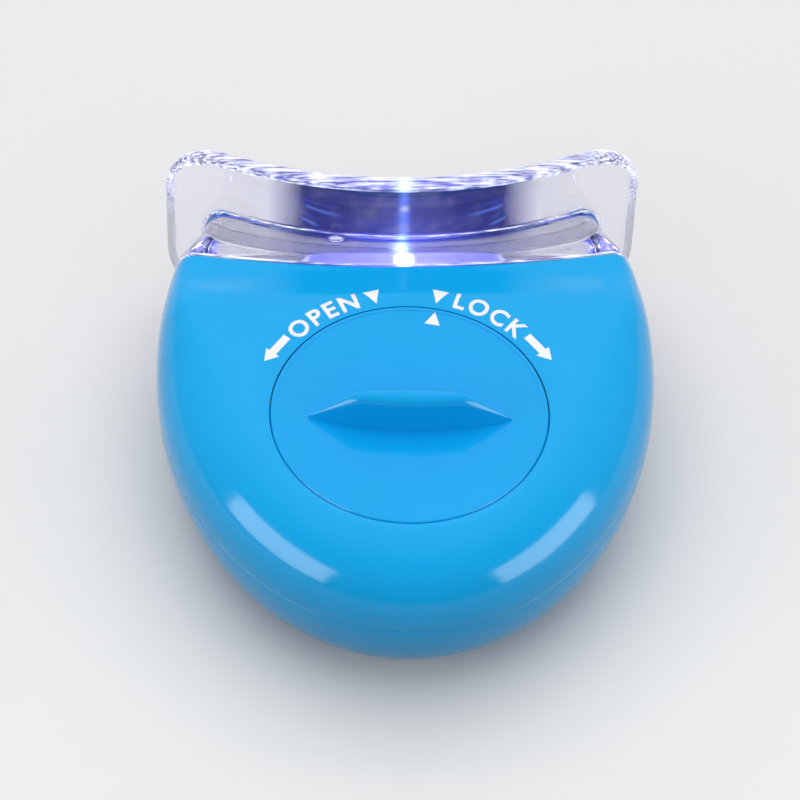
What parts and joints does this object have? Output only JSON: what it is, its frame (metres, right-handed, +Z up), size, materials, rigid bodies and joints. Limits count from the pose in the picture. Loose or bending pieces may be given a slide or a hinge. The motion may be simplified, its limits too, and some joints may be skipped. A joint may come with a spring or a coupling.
{
  "type": "led teeth whitening light",
  "caption": "Hand-held mouth light: glossy rounded case with a twist battery door, clear mouthpiece for the lips, lamp inside and push button below.",
  "frame": {"origin": "middle of the light's own box in plan, on the ground that the flat underside rests on", "axes": "+Z up through the battery door, +Y towards the clear mouthpiece, +X to the right as seen from the round end of the case"},
  "size_m": [0.0508, 0.0538, 0.0248],
  "materials": {
    "case_plastic": "high gloss sky blue",
    "door_plastic": "high gloss sky blue",
    "seal_rubber": "matte black",
    "clear_plastic": "clear, polished",
    "cell_steel": "bright plated",
    "nickel_strip": "nickel plated spring strip",
    "board_laminate": "green solder resist",
    "black_epoxy": "moulded black",
    "tan_ceramic": "tan ceramic",
    "screw_steel": "zinc plated",
    "grey_plastic": "satin grey",
    "white_plastic": "satin white",
    "button_plastic": "gloss pale blue",
    "lamp_epoxy": "water-clear epoxy, lit",
    "tinned_wire": "tinned"
  },
  "bodies": {
    "case": {"back_shell": "case_plastic", "front_shell": "case_plastic", "mouthpiece": "clear_plastic", "coin_cell_upper": "cell_steel", "coin_cell_lower": "cell_steel", "negative_contact": "nickel_strip", "positive_contact": "nickel_strip", "circuit_board": "board_laminate", "controller_chip": "black_epoxy", "current_resistor": "black_epoxy", "driver_transistor": "black_epoxy", "filter_capacitor": "tan_ceramic", "board_screw_left": "screw_steel", "board_screw_right": "screw_steel", "switch_body": "grey_plastic", "led_lamp": "lamp_epoxy", "led_lead_left": "tinned_wire", "led_lead_right": "tinned_wire", "led_holder": "white_plastic"},
    "door": {"battery_door": "door_plastic", "door_seal": "seal_rubber"},
    "button": {"push_button": "button_plastic", "switch_plunger": "white_plastic"}
  },
  "joints": [
    {"name": "door_turn", "type": "hinge", "parent": "case", "child": "door", "pos_m": [0, -0.00563, 0], "axis": [0, 0, 1], "range_deg": [0, 26]},
    {"name": "button_press", "type": "slide", "parent": "case", "child": "button", "axis": [0, 0, 1], "range_m": [0, 0.0005], "stiffness_N_per_m": 1500, "springref_m": -0.0002}
  ]
}
